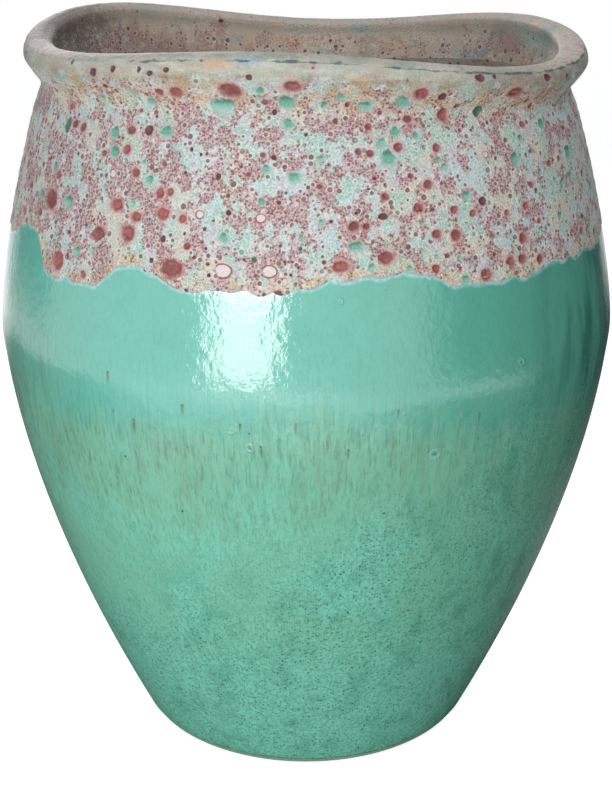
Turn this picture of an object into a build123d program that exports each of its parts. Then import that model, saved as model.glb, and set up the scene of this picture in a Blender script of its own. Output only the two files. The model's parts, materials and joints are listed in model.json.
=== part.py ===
"""A large thrown and glazed stoneware jar with a rolled, wavy rim.

The jar is made the way a potter makes one too big for a single pull of the wheel: a base
slab, four thrown wall rings and a neck collar are luted on top of each other at bevelled
seams, and a thick coil is folded over the top for the rim. A thin green glaze covers the
outside from the heel up, and passes into a thicker, glossy turquoise run that ends at a
line on the shoulder. Above that line a thick cratered glaze covers shoulder and neck, rolls
over the rim and ends inside the mouth. The clay below that is bare inside.

Frame: millimetres, +Z up, origin on the ground under the middle of the foot. The front, the
side that people see first, faces -Y.
"""

import os
from math import cos, radians, sin, tan

from build123d import *

# Clay body
rim_height = 747.0  # mean height of the clay rim, which waves up and down
belly_radius = 322.7
belly_height = 460.0  # where the wall is widest
foot_radius = 182.5  # where the wall line would meet the ground
heel_rounding = 5.0
lower_fullness_share = 1.6  # power of the wall's curve below the belly
upper_fullness_share = 1.45  # power of the wall's curve above the belly

# Clay thicknesses
wall_thickness = 19.0
foot_wall_thickness = 27.0  # the wall thickens from the belly down to the slab
slab_thickness = 30.0

# Underside: a shallow dish leaves a broad ring to stand on
dish_radius = 138.0
dish_depth = 4.0
dish_rounding = 3.0

# Thrown rings and the bevelled seams between them
wall_names = ("lower_wall", "waist_wall", "belly_wall", "shoulder_wall")
collar_depth = 78.0  # from the groove under the rim down to the collar's seam
seam_bevel_angle = 16.0

# Neck and rolled rim, measured from the groove under the rim
neck_radius = 267.5
rim_depth = 46.0  # from the mean rim height down to the groove
shoulder_flare = 8.0  # how much wider the wall is where the shoulder begins
shoulder_drop = 21.0  # and how far below the groove
coil_seam_rise = 11.0  # from the groove up to the seam under the rim coil
coil_seam_flare = 2.5
rim_overhang = 15.5  # how far the rim's nose stands out beyond the groove
nose_depth = 16.0  # from the rim's top down to its nose
edge_rounding = 8.0  # outer top edge
crown_width = 16.0  # from the nose in to the highest line of the rim
lip_rounding = 5.0  # inner top edge
mouth_inset = 8.5  # how much narrower than the groove the mouth is
mouth_depth = 20.0  # height of the upright wall inside the mouth
neck_wall_thickness = 17.0

# Waves of the rim, as it slumped and warped: height and angle of the first crest
lean_height = 5.9
lean_angle = 173.0
oval_height = 1.9
oval_angle = 2.0
wave_height = 9.6
wave_angle = 26.0
wave_count = 3
wave_fade_share = 1.2  # power by which the waves fade down to the collar's seam

# Glaze coats
green_thickness = 1.8
run_thickness = 2.7
crater_thickness = 3.4
bare_heel_gap = 1.5  # from the top of the heel's rounding up to the glaze
glaze_line_drop = 141.0  # from the neck groove down to the line between the glazes
run_depth = 130.0  # from the glaze line down to the lower edge of the run

# Construction
station_count = 18  # radial sections round the wavy rim
lower_spans = 6  # spans of the wall's curve below and above the belly
upper_spans = 5
overrun = 20.0  # how far a cutting body passes what it cuts

# Heights and radii worked out from the sizes above
neck_height = rim_height - rim_depth
shoulder_height = neck_height - shoulder_drop
shoulder_radius = neck_radius + shoulder_flare
nose_radius = neck_radius + rim_overhang
mouth_radius = neck_radius - mouth_inset
throat_radius = neck_radius - neck_wall_thickness
collar_seam = neck_height - collar_depth
coil_seam = neck_height + coil_seam_rise
ring_height = (collar_seam - slab_thickness) / len(wall_names)
glaze_line = neck_height - glaze_line_drop
run_edge = glaze_line - run_depth
glaze_foot = heel_rounding + bare_heel_gap
reach = belly_radius + overrun

os.makedirs("parts", exist_ok=True)


def outer_radius(height):
    """Radius of the clay wall's outer line, widest at the belly."""
    if height < belly_height:
        share = (belly_height - height) / belly_height
        return belly_radius - (belly_radius - foot_radius) * share**lower_fullness_share
    share = (height - belly_height) / (shoulder_height - belly_height)
    return belly_radius - (belly_radius - shoulder_radius) * share**upper_fullness_share


def inner_radius(height):
    """Radius of the clay wall's inner line."""
    share = max(0, belly_height - height) / (belly_height - slab_thickness)
    return outer_radius(height) - wall_thickness - (foot_wall_thickness - wall_thickness) * share


def wall_line(radius_at, low, coat):
    """Points of a wall line under a coat, from a low height up to the collar's seam."""
    below = [low + (belly_height - low) * step / lower_spans for step in range(lower_spans)]
    above = [
        belly_height + (collar_seam - belly_height) * step / upper_spans
        for step in range(upper_spans + 1)
    ]
    return [(radius_at(height) + coat, height) for height in below + above]


def filled(radius_at, low, coat=0):
    """Half section of all that a wall line encloses, from the axis out."""
    with BuildSketch(Plane.XZ) as section:
        with BuildLine():
            wall = Spline(*wall_line(radius_at, low, coat))
            Polyline(wall @ 1, (0, collar_seam), (0, low), wall @ 0)
        make_face()
    return section.sketch


def level(height):
    """Points of a level cut through the half section, from the axis out."""
    return [(0, height), (reach, height)]


def seam(height):
    """Points of a seam that is level up to the inner wall line and bevelled down beyond it."""
    inner = inner_radius(height)
    outer = outer_radius(height) + overrun
    drop = (outer - inner) * tan(radians(seam_bevel_angle))
    return [(0, height), (inner, height), (outer, height - drop)]


def band(low, high):
    """The part of the half section that lies between two cuts."""
    with BuildSketch(Plane.XZ) as section:
        with BuildLine():
            Polyline(*low, *reversed(high), close=True)
        make_face()
    return section.sketch


def rim_wave(angle):
    """How far the rim stands above its mean height at an angle in degrees."""
    lean = lean_height * cos(radians(angle - lean_angle))
    oval = oval_height * cos(radians(2 * (angle - oval_angle)))
    wave = wave_height * cos(radians(wave_count * (angle - wave_angle)))
    return lean + oval + wave


def lifted(angle, points):
    """Section points at one angle, each lifted by the share of the waves that reaches it."""
    placed = []
    for radius, height in points:
        share = max(0, height - collar_seam) / (rim_height - collar_seam)
        placed.append((radius, height + rim_wave(angle) * share**wave_fade_share))
    return placed


def radial_plane(angle):
    """The upright plane through the axis whose x runs outwards at an angle."""
    turn = radians(angle)
    return Plane((0, 0, 0), x_dir=(cos(turn), sin(turn), 0), z_dir=(sin(turn), -cos(turn), 0))


def rim_points(coat=0):
    """The neck and rim's section from the seam outside, over the rim, to the seam inside."""
    halfway = (collar_seam + shoulder_height) / 2
    corner_share = 1 - cos(radians(45))
    top = rim_height + coat
    nose = nose_radius + coat
    mouth = mouth_radius - coat
    return [
        (outer_radius(collar_seam) + coat, collar_seam),
        (outer_radius(halfway) + coat, halfway),
        (shoulder_radius + coat, shoulder_height),
        (neck_radius + coat, neck_height),
        (neck_radius + coil_seam_flare + coat, coil_seam),
        (nose, rim_height - nose_depth),
        (nose - edge_rounding * corner_share, top - edge_rounding),
        (nose - edge_rounding, top - edge_rounding * corner_share),
        (nose_radius - crown_width, top),
        (mouth + lip_rounding * corner_share, top - lip_rounding),
        (mouth, top - mouth_depth / 2),
        (mouth, rim_height - mouth_depth),
        (throat_radius - coat, neck_height),
        (inner_radius(shoulder_height) - coat, shoulder_height),
        (inner_radius(collar_seam) - coat, collar_seam),
    ]


def rim_section(angle, coat=0):
    """The closed section of the neck and rim at one angle."""
    with BuildSketch(radial_plane(angle)) as section:
        with BuildLine():
            skin = Spline(*lifted(angle, rim_points(coat)))
            Line(skin @ 1, skin @ 0)
        make_face()
    return section.sketch.face()


def below_coil_section(angle):
    """All of the neck below the bevelled seam that carries the rim coil."""
    inner = throat_radius - overrun
    low = collar_seam - overrun
    rise = (nose_radius - inner) * tan(radians(seam_bevel_angle)) / 2
    top = lifted(angle, [(reach, coil_seam), (nose_radius, coil_seam), (inner, coil_seam + rise)])
    with BuildSketch(radial_plane(angle)) as section:
        with BuildLine():
            Polyline((inner, low), (reach, low), *top, close=True)
        make_face()
    return section.sketch.face()


def closed_ring(section_at):
    """Sections at every station round the jar, ending on the first one again."""
    sections = [section_at(360 * station / station_count) for station in range(station_count)]
    return sections + sections[:1]


# The clay of neck and rim in one, and what lies below the seam that parts them
with BuildPart() as clay_top:
    loft(sections=closed_ring(rim_section))

with BuildPart() as below_coil:
    loft(sections=closed_ring(below_coil_section))

# Half sections of the clay wall and of the glaze coats on it
with BuildSketch(Plane.XZ) as clay_wall:
    add(filled(outer_radius, 0))
    add(filled(inner_radius, slab_thickness), mode=Mode.SUBTRACT)

with BuildSketch(Plane.XZ) as green_coat:
    add(filled(outer_radius, 0, green_thickness))
    add(filled(outer_radius, 0), mode=Mode.SUBTRACT)

with BuildSketch(Plane.XZ) as run_coat:
    add(filled(outer_radius, 0, run_thickness))
    add(filled(outer_radius, 0), mode=Mode.SUBTRACT)

with BuildSketch(Plane.XZ) as crater_coat:
    add(filled(outer_radius, 0, crater_thickness))
    add(filled(outer_radius, 0), mode=Mode.SUBTRACT)

# Base slab, dished underneath, with a rounded heel
with BuildPart() as foot_slab:
    with BuildSketch(Plane.XZ):
        add(clay_wall.sketch)
        add(band(level(-overrun), seam(slab_thickness)), mode=Mode.INTERSECT)
    revolve(axis=Axis.Z)
    with BuildSketch(Plane.XY):
        Circle(dish_radius)
    dish = extrude(amount=dish_depth, mode=Mode.SUBTRACT)
    underside = foot_slab.faces().sort_by(Axis.Z)[0]
    fillet(underside.outer_wire().edges(), radius=heel_rounding)
    ceiling = foot_slab.faces().filter_by(Plane.XY).sort_by(Axis.Z)[1]
    fillet(ceiling.edges(), radius=dish_rounding)
foot_slab.part.label = "foot_slab"
export_step(foot_slab.part, "parts/foot_slab.step")

# Thrown wall rings, each seated on the bevel of the one below
for ring, name in enumerate(wall_names):
    top = slab_thickness + ring_height * (ring + 1)
    is_last = name == wall_names[-1]
    with BuildPart() as wall:
        with BuildSketch(Plane.XZ):
            add(clay_wall.sketch)
            add(band(seam(top - ring_height), level(top) if is_last else seam(top)), mode=Mode.INTERSECT)
        revolve(axis=Axis.Z)
    wall.part.label = name
    export_step(wall.part, f"parts/{name}.step")

# Neck collar and the coil folded over it, cut apart at the wavy seam between them
with BuildPart() as neck_collar:
    add(clay_top.part)
    add(below_coil.part, mode=Mode.INTERSECT)
neck_collar.part.label = "neck_collar"
export_step(neck_collar.part, "parts/neck_collar.step")

with BuildPart() as rim_roll:
    add(clay_top.part)
    add(below_coil.part, mode=Mode.SUBTRACT)
rim_roll.part.label = "rim_roll"
export_step(rim_roll.part, "parts/rim_roll.step")

# Glaze: the green coat, and the thicker turquoise run above it
with BuildPart() as green_glaze:
    with BuildSketch(Plane.XZ):
        add(green_coat.sketch)
        add(band(level(glaze_foot), level(run_edge)), mode=Mode.INTERSECT)
    revolve(axis=Axis.Z)
green_glaze.part.label = "green_glaze"
export_step(green_glaze.part, "parts/green_glaze.step")

with BuildPart() as turquoise_run:
    with BuildSketch(Plane.XZ):
        add(run_coat.sketch)
        add(band(level(run_edge), level(glaze_line)), mode=Mode.INTERSECT)
    revolve(axis=Axis.Z)
turquoise_run.part.label = "turquoise_run"
export_step(turquoise_run.part, "parts/turquoise_run.step")

# Glaze: the cratered coat of the shoulder, and the one over neck, rim and mouth
with BuildPart() as shoulder_crater_glaze:
    with BuildSketch(Plane.XZ):
        add(crater_coat.sketch)
        add(band(level(glaze_line), level(collar_seam)), mode=Mode.INTERSECT)
    revolve(axis=Axis.Z)
shoulder_crater_glaze.part.label = "shoulder_crater_glaze"
export_step(shoulder_crater_glaze.part, "parts/shoulder_crater_glaze.step")

with BuildPart() as rim_crater_glaze:
    loft(sections=closed_ring(lambda angle: rim_section(angle, crater_thickness)))
    add(clay_top.part, mode=Mode.SUBTRACT)
rim_crater_glaze.part.label = "rim_crater_glaze"
export_step(rim_crater_glaze.part, "parts/rim_crater_glaze.step")
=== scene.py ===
"""Glaze coats, finishes and studio for a large stoneware jar with a rolled, wavy rim."""

import json
from math import cos, pi, radians, sin
from random import Random
from types import SimpleNamespace

import bpy
from bpy.props import FloatProperty, FloatVectorProperty, IntProperty, PointerProperty
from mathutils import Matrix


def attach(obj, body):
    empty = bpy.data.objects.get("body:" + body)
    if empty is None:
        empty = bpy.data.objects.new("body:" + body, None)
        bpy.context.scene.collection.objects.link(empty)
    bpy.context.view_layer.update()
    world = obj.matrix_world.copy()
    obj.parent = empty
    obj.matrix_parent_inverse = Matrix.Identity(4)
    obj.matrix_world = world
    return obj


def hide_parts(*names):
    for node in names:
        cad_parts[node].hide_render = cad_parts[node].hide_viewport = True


bl_info = {
    "name": "Glazed Stoneware Jar",
    "version": (1, 0, 0),
    "blender": (4, 5, 0),
    "location": "View3D > Sidebar > Jar",
    "description": "Dresses a stoneware jar in run and cratered glazes",
    "category": "Object",
}

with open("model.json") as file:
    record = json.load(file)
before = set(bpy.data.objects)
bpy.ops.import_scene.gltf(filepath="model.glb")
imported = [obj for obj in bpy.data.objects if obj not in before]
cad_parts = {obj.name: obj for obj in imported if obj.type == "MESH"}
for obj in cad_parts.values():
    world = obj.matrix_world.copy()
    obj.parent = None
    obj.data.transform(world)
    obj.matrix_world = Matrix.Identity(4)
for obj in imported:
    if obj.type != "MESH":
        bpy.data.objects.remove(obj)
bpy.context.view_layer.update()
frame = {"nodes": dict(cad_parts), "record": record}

# Heights and widths of the neck and rim, in metres
NECK_FOOT = 0.68  # where the shoulder's curve ends
NECK_FLARE = 0.008  # how much wider the clay is there than in the groove
GROOVE = 0.701  # the narrowest place under the rim
CREASE = 0.722  # above it, spots are few and small
RIM_EDGE = 0.7466  # the broken dark line
MOUTH_INSET = 0.0085  # from the groove's radius in to the mouth's
THROAT_INSET = 0.017  # from the groove's radius in to the throat's
SEAT = 0.0001  # gap between the clay and a coat on it
MERGE_GAP = 0.00002  # points that are nearer than this are one

# Waves of the rim: crests round the jar, rise in metres and first crest in degrees
RIM_WAVES = ((1, 0.0059, 173), (2, 0.0019, 2), (3, 0.0096, 26))

SHIFT_FADE = (0.5, 0.51)  # under the neck's coats, so that they don't follow the glaze line

# The sowing's random seed, and what spreads the spots' widths into a chance value for each
SOWING = 14
LOT_SPREAD = 9173.0
RED, POOL, BUBBLE, DARK = range(4)

# Heights of the glaze line, 10 degrees apart from +X by the back, as shares of its swing
LINE_SHARES = (
    (0.3, -0.2, -0.4, 0.2, 0.6, 0.1, -0.6, -0.2, 0.5, 0.8, 0.1, -0.5)
    + (-0.1, 0.4, 0.7, -0.3, -0.6, 0.2, 0.4, 0.2, 0.3, 1.3, -0.9, -0.9)
    + (0.7, -0.35, -0.25, 0.1, 0.5, 0.3, -0.3, -0.35, 0.0, -0.2, -0.1, 0.2)
)

# The large craters and pools by kind: angle, level, half width and half height in mm
SPOTS = {
    "red": (
        (-103.4, 721, 9.5, 6), (-92.3, 725.5, 7.5, 4.5), (-113.9, 718.5, 6, 5.5),
        (-143.5, 612.5, 10, 9), (-125, 620.5, 7, 5.2), (-115.2, 618, 6, 5), (-120.5, 613, 5.2, 4),
        (-128.7, 592.5, 9, 7), (-121.9, 598, 6.6, 7), (-138.2, 561.5, 9, 9),
        (-112.7, 572.5, 10.5, 8.5), (-121.8, 649.5, 4.3, 3.7), (-69.3, 723.5, 6.6, 5.6),
        (-63.7, 704.5, 4.6, 6.5), (-48.5, 726, 9, 5), (-73.4, 676.8, 4.2, 3.8),
        (-68.3, 644.5, 4.4, 3.8), (-70.5, 625.5, 4.7, 4.2), (-76.4, 636, 3.6, 3.3),
        (-82, 612.8, 5, 4.2), (-63.8, 599.5, 5.1, 4.5), (-67.5, 602, 4.3, 3.8),
        (-49.4, 587.6, 5, 4), (-84.4, 579.5, 7, 4.5), (-76.9, 585.5, 8, 5.2),
        (-58.5, 561.5, 6, 5.2), (-53, 569.5, 5, 4.2), (-50.1, 569.5, 5, 4.2),
    ),
    "pool": (
        (-105.2, 707, 16, 6.5), (-93.4, 711, 8, 6.8), (-98.1, 721.5, 3.5, 6),
        (-116.5, 685.5, 7, 5.6), (-127.4, 665, 6, 6), (-137.8, 614, 7.5, 7),
        (-72.5, 715.5, 7.8, 8), (-79.2, 710, 7.5, 4.6), (-73.5, 689.5, 4.6, 5.7),
        (-75.2, 668, 6.9, 7.4), (-81.8, 596, 7, 5), (-47.9, 659, 6.5, 8.4), (-29, 652.5, 8, 8),
        (-86.7, 710, 3.5, 3.4),
    ),
    "bubble": (
        (-108.3, 620, 4.2, 3.7), (-97.6, 619.5, 4.8, 4.2), (-103.7, 573.8, 9, 6.5),
        (-96, 575, 7.5, 5.6),
    ),
    "dark": (
        (-142.9, 681.5, 5, 7.5), (-120.2, 685.5, 4.5, 5), (-65, 721.5, 4, 3.9),
        (-55.7, 707, 5, 5.5), (-131.6, 735, 4, 3.8), (-126.6, 738, 3.2, 3.2),
        (-120.7, 737.5, 2.4, 3.1), (-118.3, 734.7, 3.4, 2.3), (-115, 737.5, 3.4, 2.3),
        (-57.6, 740, 5.5, 3.2), (-39.2, 738.5, 6, 3.6), (-76.9, 620, 4.5, 2.9),
        (-57.6, 625.5, 4.5, 4),
    ),
}

# Daubs of another colour: angle, level, half width and height in mm, radius in m, colour
DAUBS = (
    (-143, 727, (12, 4), 0.287, "sea"), (-105, 742, (17, 5), 0.286, "orange"),
    (-101, 745, (15, 4), 0.284, "blue"), (75.5, 739, (11, 6), 0.256, "blue"),
    (21, 731, (30, 14), 0.256, "mint"), (10, 731, (26, 20), 0.256, "sea"),
    (36, 698, (20, 6), 0.256, "orange"), (41, 706, (30, 5), 0.256, "blue"),
    (30, 720, (44, 12), 0.256, "rose"), (92, 721, (30, 11), 0.256, "orange"),
    # The cave daubs: burnt glaze, darkened further as painted shade on the mouth's left inside
    (174, 722, (130, 70), 0.256, "burnt_glaze_and_shade"), (180, 715, (80, 60), 0.256, "burnt_glaze_and_shade"),
    (138, 702, (80, 20), 0.256, "rose"),
)

# Ring-shaped blisters in the green: angle, level and size in mm
BLISTERS = ((-52, 476, 4.5), (-84.4, 549.5, 3.5), (-102, 431, 4), (-99, 415, 4.5), (-68.4, 401, 6))

# Dark drips below a pinhole: angle, level of the pinhole and length in mm
DRIPS = (
    (-91.6, 441, 26), (-80, 431, 44), (-86.6, 430, 36), (-97.2, 417, 15), (-100.5, 438, 11),
    (-75.3, 450, 22), (-53.3, 401, 17), (-124, 471, 29), (-119.3, 430, 27), (-134.5, 374, 23),
    (-110, 452, 14), (-83.2, 414, 20), (-60.5, 436, 18),
)


def paint(code):
    """Linear colour of a six-digit screen colour code."""
    shares = [int(code[at : at + 2], 16) / 255 for at in (0, 2, 4)]
    return tuple(s / 12.92 if s < 0.04045 else ((s + 0.055) / 1.055) ** 2.4 for s in shares)


def length(name, description, default):
    """A length property in metres."""
    return FloatProperty(
        name=name, description=description, default=default, unit="LENGTH", precision=4
    )


def number(name, description, default):
    """A plain number, never negative."""
    return FloatProperty(name=name, description=description, default=default, min=0)


def watts(name, description, default):
    """The power of a lamp."""
    return FloatProperty(name=name, description=description, default=default, min=0, unit="POWER")


def tint(name, description, code):
    """A colour property."""
    return FloatVectorProperty(
        name=name, description=description, default=paint(code), subtype="COLOR", min=0, max=1
    )


class JarShape(bpy.types.PropertyGroup):
    """Sizes of the clay and of the coats on it."""

    belly_radius: length("Belly radius", "Radius of the clay where it is widest", 0.3227)
    belly_height: length("Belly height", "Height of the widest place", 0.46)
    foot_radius: length("Foot radius", "Radius where the wall meets the ground", 0.1825)
    lower_fullness: number("Lower fullness", "Power of the wall's curve below the belly", 1.6)
    upper_fullness: number("Upper fullness", "Power of the wall's curve above the belly", 1.45)
    rim_height: length("Rim height", "Mean height of the clay rim", 0.747)
    neck_radius: length("Neck radius", "Radius of the clay in the groove under the rim", 0.2675)
    collar_height: length("Collar height", "Height at which the rim's waves have died away", 0.623)
    wall_thickness: length("Wall thickness", "Thickness of the clay wall", 0.019)
    line_height: length("Line height", "Mean height of the line between the glazes", 0.561)
    line_swing: length("Line swing", "How far the line wanders up and down", 0.0155)
    scallop_drop: length("Scallop drop", "How far the thick glaze hangs down in scallops", 0.008)
    green_coat: length("Green coat", "Thickness of the green glaze", 0.0016)
    run_coat: length("Run coat", "Thickness of the turquoise run", 0.0022)
    crater_coat: length("Crater coat", "Thickness of the cratered glaze", 0.0031)
    turns: IntProperty(
        name="Turns", description="Steps of a turned coat round the axis", default=1280, min=64
    )


class CraterLook(bpy.types.PropertyGroup):
    """Sizes and colours of the cratered glaze."""

    froth_cell: length("Froth cell", "Width of a froth cell", 0.0029)
    fine_cell: length("Fine cell", "Width of a fine froth cell", 0.0018)
    hole_cell: length("Hole cell", "Spacing of the middle-sized holes", 0.0076)
    froth_depth: length("Froth depth", "Depth of a froth hole", 0.0008)
    crater_depth: length("Crater depth", "Depth of a larger crater", 0.0017)
    spot_count: IntProperty(
        name="Spots", description="Craters and pools sown round the jar", default=900, min=0
    )
    cream: tint("Cream", "Walls of the froth", "bfbbaa")
    # Also the painted highlight on the lower lip of each pool
    frost: tint("Frost", "Bluish walls of the froth", "b0c6c9")
    # The net is pale crests, partly a painted highlight; it also lays painted light low in the
    # throat and on the left of the rim's upper face
    net: tint("Net", "Thin crests between the cells", "e1dfd8")
    mint: tint("Mint", "Walls in the mint patches", "8cbfb2")
    lilac: tint("Lilac", "Walls in the lilac patches", "b9abba")
    rose: tint("Rose", "Walls in the maroon patches", "a07276")
    ochre: tint("Ochre", "Warm tone by the line and under the rim", "c39858")
    maroon: tint("Maroon", "Holes in the maroon patches", "5e2c31")
    plum: tint("Plum", "Lighter holes in the maroon patches", "8b5355")
    teal: tint("Teal", "Holes in the pale patches", "5b9485")
    pool: tint("Pool", "Glassy pools", "57a68f")
    # Deep pool: laid over the upper part of each pool as painted shade, and in some dark holes
    deep: tint("Deep pool", "Deep middle of a glassy pool", "2f7565")
    blood: tint("Red", "Floors of the larger craters", "ad635c")
    blush: tint("Blush", "Pink glow round the craters", "cc9690")
    bubble: tint("Bubble", "Glassy skins of burst bubbles", "ddcfcf")
    soot: tint("Soot", "Deep dark holes", "573a3c")
    # Also darkens the front of the rim's top towards the right, as painted shade
    rim_sand: tint("Rim sand", "Wiped glaze on the rim's face", "99917a")
    rim_sage: tint("Rim sage", "Greenish wiped glaze on the rim", "879c8d")
    rim_cream: tint("Rim cream", "Pale crests on the rim", "c0bbaa")
    rim_umber: tint("Rim umber", "Brown brush marks on the rim", "86694a")
    rim_top: tint("Rim top", "Speckled glaze on top of the rim", "d3c3b6")
    # Also laid thinly over the right of the rim's face, as painted shade
    rim_line: tint("Rim line", "Broken blue line on the rim's edge", "2f4954")
    throat: tint("Throat", "Tan glaze inside the mouth", "d3bba7")
    throat_sage: tint("Throat sage", "Grey-green glaze inside the mouth", "b0b5a5")
    blue: tint("Blue", "Blue daubs", "8fb4c4")
    sea: tint("Sea", "Blue-green daubs", "4f979a")
    orange: tint("Orange", "Orange daubs", "cf9f76")
    # Burnt glaze, also painted shade on the mouth's dark left inside
    burnt_glaze_and_shade: tint("Cave", "Burnt glaze inside the mouth", "493c36")


class GlazeLook(bpy.types.PropertyGroup):
    """Colours of the green coat and its turquoise run."""

    turquoise: tint("Turquoise", "The run below the glaze line", "6abdab")
    green: tint("Green", "The coat over the belly", "7fc7ab")
    # Also laid over the lowest part of the coat as painted light
    foot: tint("Sea green", "Cooler clouds in the coat", "7fd2bb")
    # Also laid over the right side of the coat and its run as painted shade
    shade: tint("Shade", "Darker combing and mottling", "4b947d")
    olive: tint("Olive", "Streaks where the coat is thin", "78987a")
    rust: tint("Rust", "Fine drips of iron", "626a50")
    iron: tint("Iron", "Pinholes and specks", "244f48")
    # Also laid on the far right of the run as painted shade
    deep: tint("Deep", "Deep glaze in hollows", "256866")
    halo: tint("Halo", "Pale edge along the glaze line", "b4dbe2")


class ClayLook(bpy.types.PropertyGroup):
    """Colours of the bare clay."""

    clay: tint("Clay", "Fired stoneware", "8f6f58")
    ash: tint("Ash", "Pale dust in the hollows", "b3a08c")
    iron: tint("Iron", "Dark iron specks", "3f2a20")
    wash: tint("Wash", "Thin glaze that has run on to the heel", "7f9f8d")


class Studio(bpy.types.PropertyGroup):
    """The lamps and the camera."""

    window_power: watts("Window power", "The window-shaped lamp", 36.0)
    fill_power: watts("Fill power", "The broad fill", 9.0)
    top_power: watts("Top power", "The lamp overhead", 17.0)
    front_power: watts("Front power", "The low lamp in front", 17.0)
    back_power: watts("Back power", "The lamp behind the jar", 16.0)
    sky: number("Sky", "Brightness of the surroundings", 0.2)
    lens: number("Lens", "Focal length in millimetres", 66.84)


def add_node(tree, kind, inputs=None, **settings):
    """A node with its settings made and its inputs fed."""
    made = tree.nodes.new(kind)
    for key, value in settings.items():
        setattr(made, key, value)
    for key, value in (inputs or {}).items():
        feed(made.inputs[key], value)
    return made


def feed(socket, value):
    """Links a wire to a socket, or sets the socket's value."""
    if isinstance(value, Wire):
        socket.id_data.links.new(value.socket, socket)
    elif socket.type == "RGBA":
        socket.default_value = (*value[:3], 1)
    else:
        socket.default_value = value


class Wire:
    """A value in a node tree. What is worked out from it becomes more nodes in the same tree."""

    def __init__(self, socket):
        self.socket = socket
        self.is_place = socket.type in ("VECTOR", "RGBA")

    def add(self, kind, inputs=None, output=0, **settings):
        """An output of a new node."""
        return Wire(add_node(self.socket.id_data, kind, inputs, **settings).outputs[output])

    def math(self, operation, second=0.0, first=None):
        """One step of arithmetic, on a number or on a place."""
        kind = "ShaderNodeVectorMath" if self.is_place else "ShaderNodeMath"
        fed = {0: self if first is None else first, 1: second}
        return self.add(kind, fed, operation=operation)

    def __add__(self, other):
        return self.math("ADD", other)

    def __sub__(self, other):
        return self.math("SUBTRACT", other)

    def __rsub__(self, other):
        return self.math("SUBTRACT", self, other)

    def __mul__(self, other):
        return self.math("MULTIPLY", other)

    def __truediv__(self, other):
        return self.math("DIVIDE", other)

    def most(self, other):
        """The larger of two numbers."""
        return self.math("MAXIMUM", other)

    def scaled(self, *factors):
        """A place stretched along the axes."""
        return self.math("MULTIPLY", factors)

    def length(self):
        """Distance of a place from the origin."""
        return self.add("ShaderNodeVectorMath", {0: self}, "Value", operation="LENGTH")

    def across(self):
        """Distance of a place from the axis."""
        return self.scaled(1, 1, 0).length()

    def parts(self):
        """The three numbers of a place."""
        made = add_node(self.socket.id_data, "ShaderNodeSeparateXYZ", {0: self})
        return [Wire(socket) for socket in made.outputs]

    def step(self, low, high, top=1.0, base=0.0):
        """A soft step from a base at one value to a top at another."""
        fed = {"Value": self, "From Min": low, "From Max": high, "To Min": base, "To Max": top}
        return self.add("ShaderNodeMapRange", fed, "Result", interpolation_type="SMOOTHSTEP")

    def noise(self, scale, detail=2.0, roughness=0.5, output=0):
        """A cloud pattern from 0 to 1."""
        fed = {"Vector": self, "Scale": scale, "Detail": detail, "Roughness": roughness}
        return self.add("ShaderNodeTexNoise", fed, output)

    def cells(self, scale):
        """Distance to the nearest seed, three chance values of its cell, and the seed."""
        fed = {"Vector": self, "Scale": scale}
        made = add_node(self.socket.id_data, "ShaderNodeTexVoronoi", fed)
        distance, colour, seed = (Wire(made.outputs[n]) for n in ("Distance", "Color", "Position"))
        return distance, colour.parts(), seed

    def blend(self, first, second):
        """A mix of two colours by this share."""
        return self.add("ShaderNodeMix", {0: self, 6: first, 7: second}, 2, data_type="RGBA")


def layers(base, *coats):
    """A colour with others laid over it, each by its share."""
    for share, colour in coats:
        base = share.blend(base, colour)
    return base


def jar_sizes():
    """The jar's sizes, as the panel shows them."""
    return bpy.context.scene.jar_shape


def point_at(turn, radius, height):
    """A point at an angle in radians, a radius and a height."""
    return cos(turn) * radius, sin(turn) * radius, height


def wall_radius(height):
    """Radius of the clay wall's outer line."""
    shape = jar_sizes()
    if height < shape.belly_height:
        share = (shape.belly_height - height) / shape.belly_height
        shrink = shape.belly_radius - shape.foot_radius
        return shape.belly_radius - shrink * share**shape.lower_fullness
    share = (height - shape.belly_height) / (NECK_FOOT - shape.belly_height)
    shrink = shape.belly_radius - shape.neck_radius - NECK_FLARE
    return shape.belly_radius - shrink * share**shape.upper_fullness


def steps(low, high, count):
    """Evenly spaced values from one to another, both included."""
    return [low + (high - low) * step / count for step in range(count + 1)]


def through(points, spacing):
    """A smooth line through points, with a place about every so far along it."""
    line = []
    for at in range(len(points) - 1):
        first, last = points[at], points[at + 1]
        around = zip(points[max(at - 1, 0)], first, last, points[min(at + 2, len(points) - 1)])
        curves = [
            (2 * b, c - a, 2 * a - 5 * b + 4 * c - d, 3 * (b - c) - a + d) for a, b, c, d in around
        ]
        gap = ((last[0] - first[0]) ** 2 + (last[1] - first[1]) ** 2) ** 0.5
        count = max(1, round(gap / spacing))
        for t in (step / count for step in range(count)):
            line.append(tuple(0.5 * (p + q * t + r * t**2 + s * t**3) for p, q, r, s in curves))
    return line + [points[-1]]


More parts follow.
